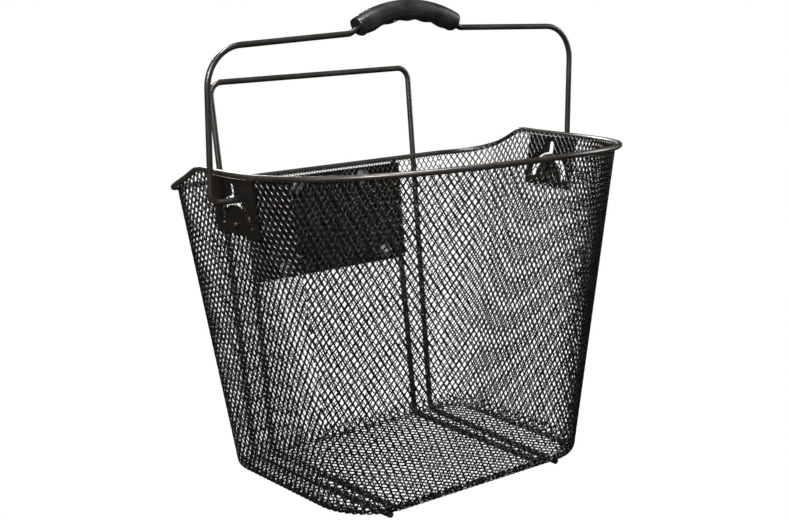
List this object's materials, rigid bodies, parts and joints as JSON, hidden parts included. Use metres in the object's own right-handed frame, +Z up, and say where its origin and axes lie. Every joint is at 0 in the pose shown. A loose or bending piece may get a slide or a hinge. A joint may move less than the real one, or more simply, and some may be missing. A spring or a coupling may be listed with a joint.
{
  "type": "handlebar basket",
  "caption": "Tapered steel-mesh bicycle basket with a wire rim, a swinging carry handle with a moulded grip, a rear wire hoop and a bracket plate for the handlebar.",
  "frame": {"origin": "middle of the footprint of the whole object, on the ground under the floor runners", "axes": "+Z up, +Y towards the bicycle (the back, with the hoop and bracket), +X to the right when looking at +Y"},
  "size_m": [0.3818, 0.3035, 0.3887],
  "materials": {
    "coated_wire": "semi-gloss black powder coat on steel wire",
    "coated_mesh": "satin black powder coat on expanded steel",
    "coated_plate": "satin black powder coat on sheet steel",
    "grip_plastic": "black moulded plastic with a low sheen",
    "zinc": "bright zinc plating"
  },
  "bodies": {
    "basket": {"rim_wire": "coated_wire", "support_hoop": "coated_wire", "left_stay": "coated_wire", "right_stay": "coated_wire", "back_mesh": "coated_mesh", "left_mesh": "coated_mesh", "right_mesh": "coated_mesh", "front_left_mesh": "coated_mesh", "front_right_mesh": "coated_mesh", "floor_mesh": "coated_mesh", "left_handle_plate": "coated_plate", "right_handle_plate": "coated_plate", "bracket_plate": "coated_plate", "bolt_upper_left": "zinc", "bolt_upper_right": "zinc", "bolt_lower_left": "zinc", "bolt_lower_right": "zinc", "washer_upper_left": "zinc", "washer_upper_right": "zinc", "washer_lower_left": "zinc", "washer_lower_right": "zinc", "nut_upper_left": "zinc", "nut_upper_right": "zinc", "nut_lower_left": "zinc", "nut_lower_right": "zinc"},
    "handle": {"handle_bail": "coated_wire", "grip_upper": "grip_plastic", "grip_lower": "grip_plastic", "grip_screw_left": "zinc", "grip_screw_right": "zinc"}
  },
  "joints": [
    {"name": "handle_swing", "type": "hinge", "parent": "basket", "child": "handle", "pos_m": [0, 0.02247, 0.227], "axis": [1, 0, 0], "range_deg": [-49, 66]}
  ]
}
